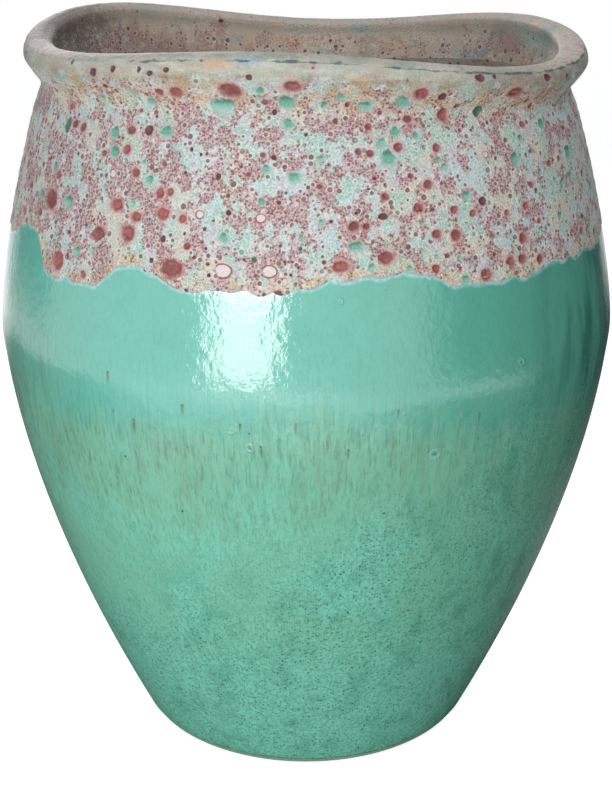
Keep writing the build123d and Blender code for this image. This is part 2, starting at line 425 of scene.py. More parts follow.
def turned_ring(name, line, turns):
    """Draws a section line point by point, closes it and turns it round the axis."""
    bpy.ops.object.select_all(action="DESELECT")
    bpy.ops.mesh.primitive_plane_add(size=0.001, location=(line[0][0], 0, line[0][1]))
    ring = bpy.context.object
    ring.name = ring.data.name = name
    bpy.ops.object.transform_apply(location=True, rotation=True, scale=True)
    bpy.ops.object.mode_set(mode="EDIT")
    bpy.ops.mesh.select_all(action="SELECT")
    bpy.ops.mesh.merge(type="CENTER")
    for here, there in zip(line, line[1:] + line[:1]):
        move = (there[0] - here[0], 0, there[1] - here[1])
        bpy.ops.mesh.extrude_region_move(TRANSFORM_OT_translate={"value": move})
    bpy.ops.mesh.select_all(action="SELECT")
    bpy.ops.mesh.remove_doubles(threshold=MERGE_GAP)
    bpy.ops.object.mode_set(mode="OBJECT")
    sweep = ring.modifiers.new("Turn", "SCREW")
    sweep.angle = 2 * pi
    sweep.steps = sweep.render_steps = turns
    sweep.use_merge_vertices = True
    sweep.merge_threshold = MERGE_GAP
    bpy.ops.object.modifier_apply(modifier=sweep.name)
    bpy.ops.object.mode_set(mode="EDIT")
    bpy.ops.mesh.select_all(action="SELECT")
    bpy.ops.mesh.normals_make_consistent(inside=False)
    bpy.ops.object.mode_set(mode="OBJECT")
    return ring


def rim_wave(angle):
    """How far the rim stands above its mean height at an angle."""
    height = 0.0
    for crests, rise, first in RIM_WAVES:
        turn = angle * crests - crests * radians(first)
        height = turn.math("COSINE") * rise + height
    return height


def wall_line(height):
    """Radius of the clay wall at a height, as nodes."""
    shape = jar_sizes()
    above = height - shape.belly_height
    up = (above / (NECK_FOOT - shape.belly_height)).most(0.0)
    down = (above / -shape.belly_height).most(0.0)
    narrower = up.math("POWER", shape.upper_fullness) * (
        shape.neck_radius + NECK_FLARE - shape.belly_radius
    )
    tapered = down.math("POWER", shape.lower_fullness) * (shape.foot_radius - shape.belly_radius)
    return narrower + shape.belly_radius + tapered


def glaze_line_shift(place, angle):
    """How far the glaze line lies above or below its mean height."""
    shape = jar_sizes()
    turn = (angle * (1 / (2 * pi)) + 1.0).math("FRACT")
    curve = add_node(turn.socket.id_data, "ShaderNodeFloatCurve", {"Value": turn})
    points = curve.mapping.curves[0].points
    last = len(LINE_SHARES)
    for at, share in enumerate(LINE_SHARES + LINE_SHARES[:1]):
        spot = (at / last, 0.5 + share / 4)
        if at in (0, last):
            points[0 if at == 0 else -1].location = spot
        else:
            points.new(*spot)
    curve.mapping.update()
    swing = (Wire(curve.outputs[0]) - 0.5) * (4 * shape.line_swing)
    hang, (chance, _, _), _ = place.scaled(1, 1, 0).cells(58)
    drop = chance * shape.scallop_drop + shape.scallop_drop * 0.5
    return swing + (hang * hang - 0.35) * drop


def crater_field(place, level, spot, kind):
    """Masks and depth of the cratered glaze: froth, craters, pools and patches."""
    look = bpy.context.scene.crater_look
    reach, chance, seed = place.cells(1 / look.froth_cell)
    sway = seed.noise(90, output=1).scaled(0.012, 0.012, 0.012)
    bent = (seed + sway).scaled(1, 1, 0.75)
    wiped = (place.noise(55) * 0.036 + level).step(0.738, 0.753)
    patch = chance[0] * 0.09 + bent.noise(60, 3, 0.55) + wiped * -0.14 + place.parts()[0] * -0.08
    maroon = patch.step(0.55, 0.57)
    other = chance[2] * 0.08 + (bent + (7.3, 2.1, 5.9)).noise(40, 2, 0.55)

    is_pool = kind.step(0.4, 0.6) * kind.step(1.6, 1.4)
    is_bubble = kind.step(1.4, 1.6) * kind.step(2.6, 2.4)
    is_dark = kind.step(2.4, 2.6)
    ragged = place.noise(230) - 0.5
    edge = ragged * (is_pool * 0.4 + is_bubble * -0.55 + 0.75) + spot
    hard = is_bubble + is_dark
    disc = edge.step(hard * -0.22 + 1.38, hard * 0.2 + 0.7)
    ring = edge.step(2.1, 1.15) * edge.step(0.8, 1.0)
    pool = disc * is_pool
    calm = edge.step(1.1, 1.35)

    # The froth, then middle-sized holes here and there
    small, large = chance[1] * 0.44 - 0.08, chance[1] * 0.2 + 0.24
    width = maroon.step(0.0, 1.0, large, small) + wiped * -0.12
    froth = reach.step(width, width - 0.12) * calm
    middle, lots, _ = place.cells(1 / look.hole_cell)
    size = lots[1] * 0.22 + 0.19
    chosen = lots[0].math("GREATER_THAN", maroon * -0.1 + 0.5) * calm * (wiped * -0.85 + 1.0)
    hollow = middle.step(size, size - 0.09) * chosen

    dome = is_bubble * edge.step(0.8, 0.2)
    bowl = edge.step(1.1, 0.45) * (is_pool * -0.65 + 1.0) + dome * -0.8
    depth = place.noise(40) * 0.0009 + hollow * look.froth_depth + froth * look.froth_depth
    depth = depth + bowl * look.crater_depth + ring * -0.0005
    return SimpleNamespace(
        maroon=maroon,
        mint=other.step(0.53, 0.57),
        chance=chance,
        wiped=wiped,
        edge=edge,
        pool=pool,
        pit=disc - pool,
        ring=ring,
        is_bubble=is_bubble,
        is_dark=is_dark,
        calm=calm,
        froth=froth,
        hollow=hollow,
        brim=middle.step(size + 0.16, size + 0.02) * chosen,
        lots=lots,
        halo=reach.step(width + 0.3, width + 0.06),
        depth=depth.most(0.0),
    )


def neck_profile(level):
    """Outer radius of the cratered coat from the glaze line up to the rim's outer edge."""
    shape = jar_sizes()
    if level < shape.collar_height:
        return wall_radius(level) + shape.crater_coat
    neck = shape.neck_radius + shape.crater_coat
    line = collar_line() + [
        (neck + 0.0025, 0.712),
        (neck + 0.0155, 0.731),
        (neck + 0.013, 0.742),
    ]
    for low, high in zip(line, line[1:]):
        if low[1] <= level <= high[1]:
            share = (level - low[1]) / (high[1] - low[1])
            return low[0] + (high[0] - low[0]) * share
    return line[-1][0]


def collar_line():
    """Outer points of the neck's coat from the collar's seam up to the groove."""
    shape = jar_sizes()
    seam, coat = shape.collar_height, shape.crater_coat
    halfway = (seam + NECK_FOOT) / 2
    return [
        (wall_radius(seam) + coat, seam),
        (wall_radius(halfway) + coat, halfway),
        (shape.neck_radius + NECK_FLARE + coat, NECK_FOOT),
        (shape.neck_radius + coat, GROOVE),
    ]


def sow_spots():
    """Points for all craters and pools: the large ones listed, small ones sown between."""
    shape = jar_sizes()
    look = bpy.context.scene.crater_look
    draw = Random(SOWING)
    mouth = shape.neck_radius - MOUTH_INSET - shape.crater_coat
    spots = []
    for kind, rows in enumerate(SPOTS.values()):
        for angle, level, wide, tall in rows:
            place = point_at(radians(angle), neck_profile(level / 1000), level / 1000)
            spots.append((place, wide / 1000, tall / 1000, kind))
    for _ in range(look.spot_count * 3):
        turn = draw.uniform(-pi, pi)
        inside = draw.random() < 0.2
        level = draw.uniform(0.63 if inside else 0.55, 0.745)
        if level > CREASE and draw.random() < 0.75:
            continue
        place = point_at(turn, mouth if inside else neck_profile(level), level)
        wide = 0.0011 + 0.0033 * draw.random() ** 2
        tall = wide * draw.uniform(0.75, 1.1)
        kind = draw.choices((RED, POOL, BUBBLE, DARK), (5, 3.5, 1, 4))[0]
        if kind == DARK:
            wide, tall = wide * 0.6, tall * 0.7
        if inside or level > CREASE:
            wide, tall, kind = wide * 0.7, tall * 0.7, draw.choice((RED, DARK))
        if kind == POOL:
            wide, tall = wide * 1.3, tall * 1.5
        room = wide + 0.0022
        if all(
            sum((a - b) ** 2 for a, b in zip(place, other)) > (room + broad) ** 2
            for other, broad, _, _ in spots
        ):
            spots.append((place, wide, tall, kind))
    mesh = bpy.data.meshes.new("spot_seeds")
    mesh.from_pydata([spot[0] for spot in spots], [], [])
    for name, at in (("wide", 1), ("tall", 2), ("kind", 3)):
        values = mesh.attributes.new(name, "FLOAT", "POINT").data
        values.foreach_set("value", [float(spot[at]) for spot in spots])
    seeds = bpy.data.objects.new("spot_seeds", mesh)
    bpy.context.scene.collection.objects.link(seeds)
    return seeds


def moved(geometry, position):
    """The shape with its points put at new positions."""
    return geometry.add("GeometryNodeSetPosition", {"Geometry": geometry, "Position": position})


def data_kind(value):
    """What geometry nodes call a number or a place."""
    return "FLOAT_VECTOR" if value.is_place else "FLOAT"


def kept(geometry, **values):
    """The shape with values stored on its points."""
    for name, value in values.items():
        fed = {"Geometry": geometry, "Name": name, "Value": value}
        geometry = geometry.add(
            "GeometryNodeStoreNamedAttribute", fed, data_type=data_kind(value), domain="POINT"
        )
    return geometry


def carried(wire, name, kind="FLOAT"):
    """A value that the shape carries, read back inside a shape tree."""
    return wire.add("GeometryNodeInputNamedAttribute", {"Name": name}, data_type=kind)


def round_axis(place):
    """Angle, radius and height of a place."""
    x, y, z = place.parts()
    return y.math("ARCTAN2", x), place.across(), z


def at_radius(angle, radius, height):
    """The place at an angle, a radius and a height."""
    fed = {0: angle.math("COSINE") * radius, 1: angle.math("SINE") * radius, 2: height}
    return angle.add("ShaderNodeCombineXYZ", fed)


def settle(geometry, fade_low, fade_high):
    """Lets a coat follow the glaze line and the rim's waves, and stores where it then is."""
    shape = jar_sizes()
    seam = shape.collar_height
    place = geometry.add("GeometryNodeInputPosition")
    angle, radius, height = round_axis(place)
    shift = glaze_line_shift(place, angle)
    level = shift * height.step(fade_low, fade_high, 0.0, 1.0) + height
    radius = radius + (wall_line(level) - wall_line(height)) * height.step(0.64, 0.63)
    reach = ((level - seam) / (shape.rim_height - seam)).most(0.0).math("POWER", 1.2)
    waved = rim_wave(angle) * reach + level
    geometry = kept(
        geometry,
        rise=level - (shift + shape.line_height),
        level=level,
        calm=at_radius(angle, radius, level),
    )
    return kept(moved(geometry, at_radius(angle, radius, waved)), place=place)


def nearest_spot(geometry, seeds):
    """Stores how far off the nearest crater or pool is, in its own radii, and its kind."""
    spots = geometry.add("GeometryNodeObjectInfo", {"Object": seeds}, "Geometry")
    calm = carried(geometry, "calm", "FLOAT_VECTOR")
    fed = {"Geometry": spots, "Sample Position": calm}
    nearest = geometry.add("GeometryNodeSampleNearest", fed)

    def picked(value):
        fed = {"Geometry": spots, "Value": value, "Index": nearest}
        return geometry.add("GeometryNodeSampleIndex", fed, data_type=data_kind(value))

    gap = calm - picked(geometry.add("GeometryNodeInputPosition"))
    wide, tall, kind = (picked(carried(geometry, name)) for name in ("wide", "tall", "kind"))
    across, along = gap.across() / wide, gap.parts()[2] / tall
    spot = geometry.add("ShaderNodeCombineXYZ", {0: across, 1: along}).length()
    return kept(geometry, spot=spot.math("MINIMUM", 4.0), fall=along, bulk=wide, kind=kind)


def press_craters(geometry, seeds, core, skin):
    """Presses the crater field into the outer skin: to a core line, outwards or to the axis."""
    geometry = nearest_spot(geometry, seeds)
    place = carried(geometry, "place", "FLOAT_VECTOR")
    level, spot, kind = (carried(geometry, name) for name in ("level", "spot", "kind"))
    angle, radius, height = round_axis(place)
    depth = crater_field(place, level, spot, kind).depth * skin(radius, level)
    if core is None:
        way = at_radius(angle, -1.0, 0.0)
    elif core == "inside":
        way = at_radius(angle, 1.0, 0.0)
    else:
        below = (level - core[1]).math("MINIMUM", 0.0) * radius.step(core[0], core[0] - 0.004)
        middle = at_radius(angle, core[0], height - level + below + core[1])
        way = (middle - place).math("NORMALIZE", (0, 0, 0))
    pressed = way.add("ShaderNodeVectorMath", {0: way, "Scale": depth}, operation="SCALE")
    return moved(geometry, place + pressed)


def finish_shape(piece, build):
    """Runs a tree of geometry nodes on a piece, applies it and shades the piece smooth."""
    tree = bpy.data.node_groups.new(piece.name, "GeometryNodeTree")
    for way in ("INPUT", "OUTPUT"):
        tree.interface.new_socket("Geometry", in_out=way, socket_type="NodeSocketGeometry")
    shaped = build(Wire(tree.nodes.new("NodeGroupInput").outputs[0]))
    feed(tree.nodes.new("NodeGroupOutput").inputs[0], shaped)
    relief = piece.modifiers.new("Relief", "NODES")
    relief.node_group = tree
    bpy.ops.object.modifier_apply(modifier=relief.name)
    bpy.ops.object.shade_smooth_by_angle(angle=radians(50))


def new_finish(name):
    """An empty material and its shader."""
    finish = bpy.data.materials.new(name)
    finish.use_nodes = True
    return finish, finish.node_tree.nodes["Principled BSDF"]


def matt_finish(name, tone):
    """A plain dull material and its shader."""
    finish, shader = new_finish(name)
    feed(shader.inputs["Base Color"], tone)
    feed(shader.inputs["Roughness"], 0.9)
    return finish, shader


def source(shader, kind, output, **settings):
    """An output of a node that feeds a finish."""
    return Wire(add_node(shader.id_data, kind, None, **settings).outputs[output])


def named(shader, name, output="Fac"):
    """A value that the shape carries, read in a finish."""
    return source(shader, "ShaderNodeAttribute", output, attribute_name=name)


def dress(shader, colour, rough, *reliefs):
    """Feeds a shader its colour, roughness and small reliefs: height, distance, strength."""
    feed(shader.inputs["Base Color"], colour)
    feed(shader.inputs["Roughness"], rough)
    below = {}
    for height, distance, strength in reliefs:
        fed = {"Height": height, "Distance": distance, "Strength": strength}
        below = {"Normal": height.add("ShaderNodeBump", {**fed, **below})}
    feed(shader.inputs["Normal"], below["Normal"])


def daub(place, angle, level, size, radius):
    """A ragged patch at one place of the jar, as a mask."""
    gap = place - point_at(radians(angle), radius, level / 1000)
    wide, tall = 1000 / size[0], 1000 / size[1]
    return (gap.scaled(wide, wide, tall).length() + place.noise(150, 3, 0.65)).step(1.75, 1.1)


def crater_finish():
    """The thick cratered glaze: froth walls and holes, red craters, pools and a wiped rim."""
    look = bpy.context.scene.crater_look
    finish, shader = new_finish("cratered_glaze")
    place, calm_place = (named(shader, name, "Vector") for name in ("place", "calm"))
    names = ("level", "rise", "spot", "kind", "bulk", "fall")
    level, rise, spot, kind, bulk, fall = (named(shader, name) for name in names)
    field = crater_field(place, level, spot, kind)
    maroon = field.maroon
    side, back, _ = place.parts()
    across = place.across()
    inside = across.step(0.264, 0.259)
    wiped = field.wiped * (1.0 - inside)

    # Pale and mint walls, rosy round the maroon holes, ochre by the line and under the rim
    drift = place.noise(55, 4, 0.65)
    under_rim = level.step(0.695, 0.712) * level.step(0.735, 0.72)
    warm = rise.step(0.016, 0.001).most(under_rim * 0.8) * drift.step(0.38, 0.58)
    wall = layers(
        look.cream,
        (place.noise(26, 3, 0.6).step(0.42, 0.58), look.frost),
        (field.mint * 0.75, look.mint),
        (place.noise(70).step(0.5, 0.64, 0.6), look.lilac),
        (maroon * (field.halo * 0.25 + 0.75), look.rose),
        (warm * 0.75, look.ochre),
    )

    # The wiped rim: brushed sand, sage and umber on the face, pinkish speckles on top, painted
    # shade towards the right
    brushed = place.scaled(0.3, 0.3, 1).noise(130, 4, 0.7)
    patchy = place.scaled(0.6, 0.6, 1).noise(34, 3, 0.6)
    dusky = place.scaled(0.7, 0.7, 1).noise(24, 3, 0.6)
    blotch = place.noise(170, 3, 0.7)
    # Painted shade: towards the right the face gets less pale net and some dark line colour, and
    # the front of the top turns to sand
    right_shade = side.step(0.04, 0.26)
    face = layers(
        look.rim_sand,
        (patchy.step(0.42, 0.6), look.rim_sage),
        (brushed.step(0.5, 0.68, 0.8), look.rim_cream),
        (brushed.step(0.55, 0.4, 0.9), look.rim_umber),
        (dusky.step(0.54, 0.68, 0.6), look.throat_sage),
        (dusky.step(0.42, 0.32, 0.5), look.sea),
        (drift.step(0.5, 0.64) * level.step(0.742, 0.728) * 0.6, look.ochre),
        ((right_shade * -0.3 + 0.36) * level.step(0.73, 0.742), look.net),
        (right_shade * 0.2, look.rim_line),
    )
    bright = layers(
        look.rim_cream,
        (brushed.step(0.42, 0.6), look.rim_sage),
        (dusky.step(0.5, 0.62, 0.6), look.net),
        (right_shade * 0.75, look.rim_sand),
    )
    top = layers(
        look.rim_top,
        (blotch.step(0.48, 0.6, 0.75), look.rose),
        (blotch.step(0.46, 0.36, 0.6), look.throat_sage),
        (back.step(-0.1, -0.22, 0.85), bright),
    )
    throat = layers(
        look.throat,
        (patchy.step(0.5, 0.64), look.throat_sage),
        (blotch.step(0.5, 0.66, 0.6), look.rim_cream),
    )
    wall = layers(
        wall,
        (wiped * 0.9, level.step(0.742, 0.746).blend(face, top)),
        (inside * (maroon * -0.35 + 0.85), throat),
        # Painted light: pale net colour inside, below the joint at about 0.70, lifts a shaded
        # wedge
        (inside * level.step(0.703, 0.698, 0.6), look.net),
    )
    for angle, height, size, radius, name in DAUBS:
        # The cave daubs, burnt glaze with painted shade, are laid more strongly
        share = 0.72 if name == "burnt_glaze_and_shade" else 0.58
        mask = daub(calm_place, angle, height, size, radius)
        wall = layers(wall, (mask * share, getattr(look, name)))

    # Froth holes, fine and coarse, with pale crests between, partly a painted highlight, and holes
    # with a pale brim
    def froth_hole(chance, *over):
        soft = layers(look.teal, (chance.step(0.35, 0.6), look.plum), *over)
        return maroon.blend(soft, chance.blend(look.maroon, look.plum))

    reach, chance, _ = place.cells(1 / look.fine_cell)
    smooth = (inside * calm_place.noise(13).step(0.58, 0.44)).most(wiped)
    rough_share = smooth * -0.75 + 1.0
    width = chance[0] * 0.36 + 0.02 + maroon * 0.12
    fine = reach.step(width, width - 0.16) * field.calm * rough_share
    coarse = field.froth * (maroon * 0.26 + 0.6) * (smooth * -0.5 + 1.0)
    lot = field.lots[2]
    hollow = layers(
        look.maroon,
        (lot.step(0.1, 0.9), look.plum),
        (lot.step(0.3, 0.28, 0.8), look.soot),
        (lot.step(0.62, 0.64) * (1.0 - maroon), look.teal),
    )
    colour = layers(
        wall,
        # Pale net on the fine cells' crests: pale glaze, partly a painted highlight
        (reach.step(0.4, 0.7) * (maroon * -0.16 + 0.6) * rough_share, look.net),
        (fine * (maroon * 0.2 + 0.46), froth_hole(chance[1])),
        (coarse, froth_hole(field.chance[2], (wiped, look.maroon))),
        (field.brim * 0.5, look.net),
        (field.hollow * 0.85, hollow),
        (rise.step(0.0018, 0.0006) * drift.step(0.46, 0.56, 0.75), look.blue),
    )

    # A broken dark line along the rim's outer edge
    broken = (side * 0.3 + place.scaled(1, 1, 0.2).noise(34, 4, 0.7)).step(0.44, 0.62)
    wavy = (place.noise(90, 4, 0.65) * 0.004 + level - RIM_EDGE).math("ABSOLUTE")
    line = (wavy / (broken * 0.0014 + 0.0002)).step(1.1, 0.4)
    line = line * across.step(0.272, 0.274) * (broken * 0.6 + 0.25)

    # Craters, burst bubbles, holes and pools
    edge = field.edge
    texture = place.noise(320, 3, 0.65)
    lot = (bulk * LOT_SPREAD).math("FRACT")
    fall = texture * 0.8 + fall - 0.4
    blood = layers(
        look.blood,
        (texture.step(0.42, 0.66), look.plum),
        (lot.step(0.5, 1.0, 0.7), look.plum),
        (drift.step(0.42, 0.62, 0.65), look.maroon),
        (edge.step(0.5, 0.95, 0.5), look.maroon),
    )
    floor = layers(
        blood,
        (field.is_bubble, edge.step(0.76, 0.86).blend(look.bubble, look.plum)),
        (field.is_dark * 0.85, lot.step(0.8, 0.82).blend(look.soot, look.deep)),
    )
    # Pools: deep teal over their upper part as painted shade, pale frost on their lower lip as a
    # painted highlight
    water = layers(
        look.pool,
        (lot.step(0.1, 0.9, 0.85), look.mint),
        (fall.step(-0.1, 0.7), look.deep),
        (fall.step(-0.35, -0.85, 0.6), look.frost),
        (edge.step(0.6, 1.1), look.mint),
    )
    glow = field.ring * kind.step(0.4, 0.6, 0.25, 0.62) * bulk.step(0.002, 0.005, 1.0, 0.35)
    colour = layers(
        colour,
        (line, look.rim_line),
        (glow, look.blush),
        (field.pit, floor),
        (field.pool * 0.9, water),
    )
    glassy = field.pool.most(field.pit * field.is_bubble)
    rough = glassy.step(0.2, 0.8, 0.12, place.noise(160) * 0.3 + 0.34)
    grain = (1.0 - glassy) * place.noise(900, 3, 0.6)
    dress(shader, colour, rough, (grain, 0.0004, 0.6), (brushed, 0.001, 0.6), (reach, 0.0007, 0.8))
    shader.inputs["IOR"].default_value = 1.5
    return finish


def green_finish():
    """The green coat: turquoise run above, olive streaks and drips, dark specks below, painted
    shade on the right.
    """
    look = bpy.context.scene.glaze_look
    finish, shader = new_finish("green_glaze")
    place = named(shader, "place", "Vector")
    level, rise = named(shader, "level"), named(shader, "rise")
    side = place.parts()[0]
    cloud = place.noise(11, 3, 0.55)
    streaks = place.scaled(1, 1, 0.022).noise(150, 4, 0.65)
    hair = place.scaled(1, 1, 0.009).noise(430, 3, 0.6)
    soft = place.scaled(1, 1, 0.14).noise(38)
    ragged = place.noise(260, 3, 0.6) - 0.5

    # Where the turquoise run ends: lower at the front's sides, fringed by its drips
    edge = side.math("ABSOLUTE") * 0.15 + level + streaks * 0.12 + cloud * 0.06 - 0.09
    # Sea green in clouds, the coat's own, and over the lowest part as painted light
    cool = cloud.step(0.4, 0.64).most(level.step(0.28, 0.1))
    # Painted shade: the run turns towards the shade colour on the right
    run = side.step(-0.1, 0.26, 0.34).blend(look.turquoise, look.shade)

    # Olive and brown streaks, thickest just below the run and along the left side
    fringe = edge.step(0.475, 0.43) * edge.step(0.3, 0.41, 1.0, 0.25)
    left = side.step(-0.17, -0.3) * level.step(0.55, 0.47) * level.step(0.12, 0.3)
    zone = fringe.most(left * 0.9)
    olive = zone * soft.step(0.38, 0.62, 1.0, 0.25) * streaks.step(0.38, 0.64)
    combed = hair.step(0.44, 0.7) * edge.step(0.56, 0.44, 1.0, 0.4)
    colour = layers(
        look.green,
        (cool, look.foot),
        (edge.step(0.42, 0.465), run),
        (olive * 0.4 + zone * 0.24, look.olive),
        (zone * hair.step(0.5, 0.68) * 0.3, look.rust),
        (combed * 0.3, look.shade),
    )

    # Drips with a pinhole at the top
    sway = place.noise(60) * 0.006 - 0.003
    swayed = place + place.add("ShaderNodeCombineXYZ", {0: sway})
    for angle, top, tall in DRIPS:
        radius = wall_radius((top - tall / 2) / 1000) + 0.002
        gap = swayed - point_at(radians(angle), radius, top / 1000)
        down = gap.parts()[2] * (-1000 / tall)
        drip = (gap.scaled(1, 1, 0.12).length() / (streaks * 0.0036 - 0.0004)).step(1.5, 0.4)
        drip = drip * down.step(-0.06, 0.04) * down.step(1.1, 0.4)
        pinhole = gap.length().step(0.0018, 0.0008, 0.7)
        colour = layers(colour, (drip * 0.75, look.rust), (pinhole, look.iron))
    reach, chance, _ = place.cells(60)
    pinhole = reach.step(0.09, 0.04) * chance[1].step(0.8, 0.84) * edge.step(0.5, 0.44, 1.0, 0.2)

    # Dense dark specks low down, most of all on the right
    low = (side * -0.5 + level + cloud * -0.3 + 0.15).step(0.4, 0.2)
    reach, chance, _ = place.cells(390)
    width = chance[0] * 0.44 + 0.14
    speck = reach.step(width, width - 0.26) * (low * 0.92 + 0.08)
    mottled = place.noise(250, 3, 0.75).step(0.42, 0.62) * (low * 0.85 + 0.15)
    dull = place.scaled(1, 1, 0.6).noise(34, 3, 0.6).step(0.48, 0.66) * (low * 0.28 + 0.1)

    # Painted shade of deep teal on the far right of the run, a pale line under the craters,
    # blisters
    deep = side.step(0.19, 0.29) * soft.step(0.42, 0.6) * edge.step(0.44, 0.5)
    halo = rise.step(-0.005, -0.0015) * ragged.step(-0.12, 0.12, 1.0, 0.35)
    colour = layers(
        colour,
        (pinhole, look.iron),
        (mottled * 0.45, look.shade),
        # Painted shade: the shade colour laid over the right side, besides the dull patches
        (dull + side.step(0.02, 0.28, 0.55), look.shade),
        (speck * (chance[1] * 0.5 + 0.3), look.iron),
        (deep * 0.75, look.deep),
        (halo * 0.8, look.halo),
    )
    blister = None
    for angle, height, size in BLISTERS:
        middle = point_at(radians(angle), wall_radius(height / 1000), height / 1000)
        gap = (place - middle).length() * (1000 / size) + ragged * 1.3
        ring = gap.step(0.35, 0.75) * gap.step(1.2, 0.85)
        blister = blister.most(ring) if blister else ring
        colour = layers(colour, (gap.step(0.5, 0.3, 0.6), look.deep))
    colour = layers(colour, (blister * 0.16, look.halo))
    dress(
        shader,
        colour,
        edge.step(0.38, 0.5, 0.07, 0.24),
        (place.noise(45, 3, 0.5), 0.0014, 0.5),
        (place.scaled(1, 1, 0.8).noise(120, 3, 0.6), 0.0011, 0.5),
        (hair, 0.0002, 0.4),
        (blister, 0.001, 0.7),
        (speck, -0.0003, 0.6),
    )
    shader.inputs["IOR"].default_value = 1.8
    return finish


def clay_finish():
    """Bare fired stoneware: throwing lines, ash in the hollows and iron specks."""
    look = bpy.context.scene.clay_look
    finish, shader = new_finish("stoneware_clay")
    place = source(shader, "ShaderNodeTexCoord", "Object")
    cloud = place.noise(14, 4, 0.6)
    rings = place.scaled(0.04, 0.04, 1).noise(220, 3, 0.6)
    reach, (size, _, _), _ = place.cells(260)
    width = size * 0.34 - 0.12
    washed = place.across().step(0.172, 0.179) * cloud.step(0.2, 0.4)
    colour = layers(
        look.clay,
        (cloud.step(0.4, 0.7), look.ash),
        (rings * 0.3, look.iron),
        (reach.step(width, width - 0.1) * 0.8, look.iron),
        (washed * place.parts()[2].step(0.02, 0.012, 0.85), look.wash),
    )
    dress(shader, colour, 0.85, (rings, 0.0015, 0.6), (place.noise(700, 3, 0.7), 0.0004, 0.6))
    return finish


class JAR_OT_clay(bpy.types.Operator):
    """Give the clay rings and the slab their bare stoneware"""

    bl_idname = "jar.clay"
    bl_label = "Finish Clay"

    def execute(self, context):
        finish = clay_finish()
        for part in frame["record"]["subparts"]:
            if part["material_slot"] == "clay":
                node = frame["nodes"][part["node"]]
                node.data.materials.clear()
                node.data.materials.append(finish)
        return {"FINISHED"}


class JAR_OT_green_coat(bpy.types.Operator):
    """Turn the green coat with its turquoise run, up to the wandering glaze line"""

    bl_idname = "jar.green_coat"
    bl_label = "Make Green Coat"

    def execute(self, context):
        shape = jar_sizes()
        line = shape.line_height
        foot = 0.0067
        outer = [(wall_radius(foot) + 0.0004, foot)]
        for height in steps(foot + 0.003, 0.44, 34) + steps(0.45, line + 0.004, 26):
            run = min(max((height - 0.43) / 0.02, 0), 1)
            coat = shape.green_coat + (shape.run_coat - shape.green_coat) * run
            outer.append((wall_radius(height) + coat, height))
        inner = [(wall_radius(height) + SEAT, height) for height in steps(line + 0.004, foot, 9)]
        coat = turned_ring("green_coat", outer + inner, shape.turns)
        finish_shape(coat, lambda geometry: settle(geometry, line, 0.45))
        coat.data.materials.append(green_finish())
        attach(coat, "root")
        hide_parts("green_glaze", "turquoise_run")
        return {"FINISHED"}


